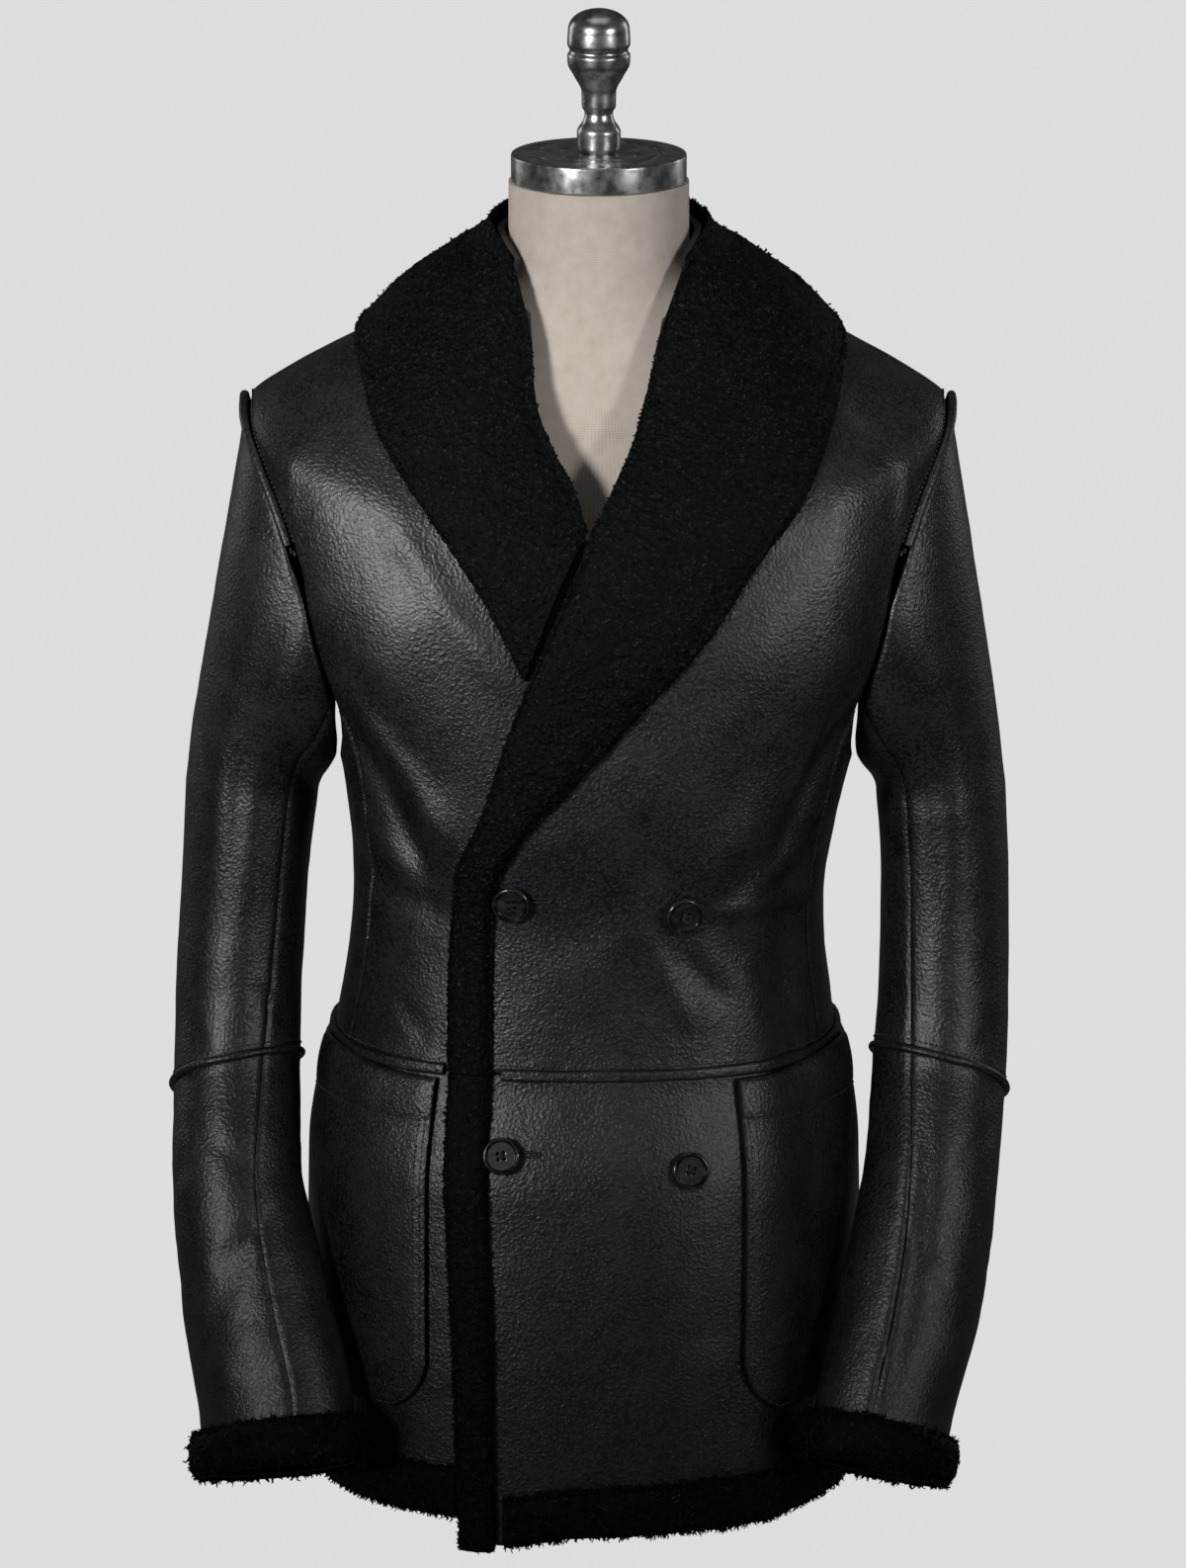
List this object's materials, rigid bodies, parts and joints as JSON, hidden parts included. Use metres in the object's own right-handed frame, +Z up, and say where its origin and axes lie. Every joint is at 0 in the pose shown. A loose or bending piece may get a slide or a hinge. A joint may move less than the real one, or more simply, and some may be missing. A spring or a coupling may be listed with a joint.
{
  "type": "shearling coat on dress form",
  "caption": "Double-breasted leather coat with a turned-out fur shawl collar, cuffs and hem, buttoned on a limbless dress form.",
  "frame": {"origin": "centre of the flat base of the dress form", "axes": "+Z up, the coat's front faces -Y, the wearer's left is +X"},
  "size_m": [0.5283, 0.3189, 0.9553],
  "materials": {
    "leather": "satin black sheepskin leather",
    "fur": "short curly black wool",
    "horn": "polished dark horn",
    "linen": "matt cream linen cover",
    "metal": "polished and brushed metal"
  },
  "bodies": {
    "root": {"front_right": "leather", "front_left": "leather", "back_right": "leather", "back_left": "leather", "side_right": "leather", "side_left": "leather", "skirt_right": "leather", "skirt_left": "leather", "skirt_back": "leather", "hem_right": "fur", "hem_left": "fur", "hem_back": "fur", "facing_skirt_left": "fur", "facing_left": "fur", "facing_right": "fur", "collar_stand": "leather", "sleeve_top_right": "leather", "sleeve_under_right": "leather", "forearm_top_right": "leather", "forearm_under_right": "leather", "cuff_right": "fur", "elbow_welt_right": "leather", "armhole_welt_right": "leather", "sleeve_top_left": "leather", "sleeve_under_left": "leather", "forearm_top_left": "leather", "forearm_under_left": "leather", "cuff_left": "fur", "elbow_welt_left": "leather", "armhole_welt_left": "leather", "waist_welt_right": "leather", "waist_welt_left": "leather", "pocket_right": "leather", "pocket_left": "leather", "button_upper_fastened": "horn", "button_upper_show": "horn", "button_lower_fastened": "horn", "button_lower_show": "horn", "form_torso": "linen", "form_neck_cap": "metal", "form_finial": "metal"}
  },
  "joints": []
}
